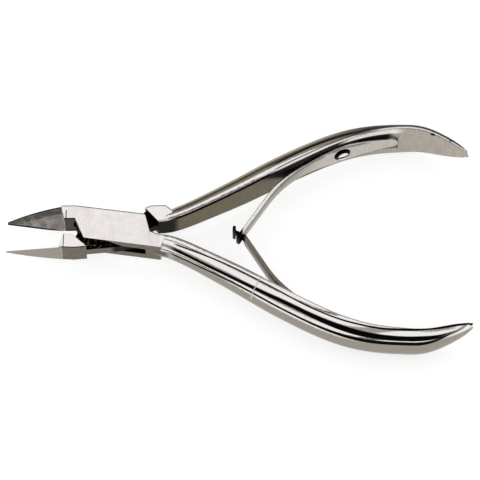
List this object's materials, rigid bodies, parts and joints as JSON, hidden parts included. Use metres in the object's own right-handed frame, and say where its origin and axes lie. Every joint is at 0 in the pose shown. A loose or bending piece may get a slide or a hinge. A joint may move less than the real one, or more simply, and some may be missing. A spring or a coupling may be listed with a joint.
{
  "type": "cuticle nipper",
  "caption": "Stainless steel cuticle nipper with a box joint, curved flat handles and a double leaf spring whose tips interlock.",
  "frame": {"origin": "on the axis of the joint pin, in the plane of the back cheek's outer face", "axes": "+X runs from the pin to the ends of the handles along the line that halves the opening, +Y to the tongue half's handle, +Z from the back cheek to the front cheek"},
  "size_m": [0.1148, 0.0632, 0.0116],
  "materials": {
    "polished_steel": "mirror-polished handles and ground faces of stainless steel",
    "pin_steel": "ground flush with the cheeks",
    "spring_steel": "satin stainless spring steel",
    "screw_steel": "polished slotted screw"
  },
  "bodies": {
    "box_body": {"box_half": "polished_steel", "joint_pin": "pin_steel", "lower_spring_screw": "screw_steel"},
    "tongue_body": {"tongue_half": "polished_steel", "upper_spring_screw": "screw_steel"},
    "upper_leaf": {"upper_leaf_spring": "spring_steel"},
    "lower_leaf": {"lower_leaf_spring": "spring_steel"}
  },
  "joints": [
    {"name": "jaw_pivot", "type": "hinge", "parent": "box_body", "child": "tongue_body", "pos_m": [0, 0, 0.0032], "axis": [0, 0, -1], "range_deg": [0, 14.5], "stiffness_Nm_per_rad": 1.5},
    {"name": "upper_leaf_flex", "type": "hinge", "parent": "tongue_body", "child": "upper_leaf", "pos_m": [0.04457, 0.01957, 0.0032], "axis": [0, 0, -1], "range_deg": [0, 10.8], "deforming": ["upper_leaf_spring"]},
    {"name": "lower_leaf_flex", "type": "hinge", "parent": "box_body", "child": "lower_leaf", "pos_m": [0.04457, -0.01957, 0.0032], "axis": [0, 0, 1], "range_deg": [0, 10.8], "deforming": ["lower_leaf_spring"]}
  ],
  "couplings": [
    {"joint": "upper_leaf_flex", "follows": "jaw_pivot", "ratio": 0.74},
    {"joint": "lower_leaf_flex", "follows": "jaw_pivot", "ratio": 0.74}
  ]
}
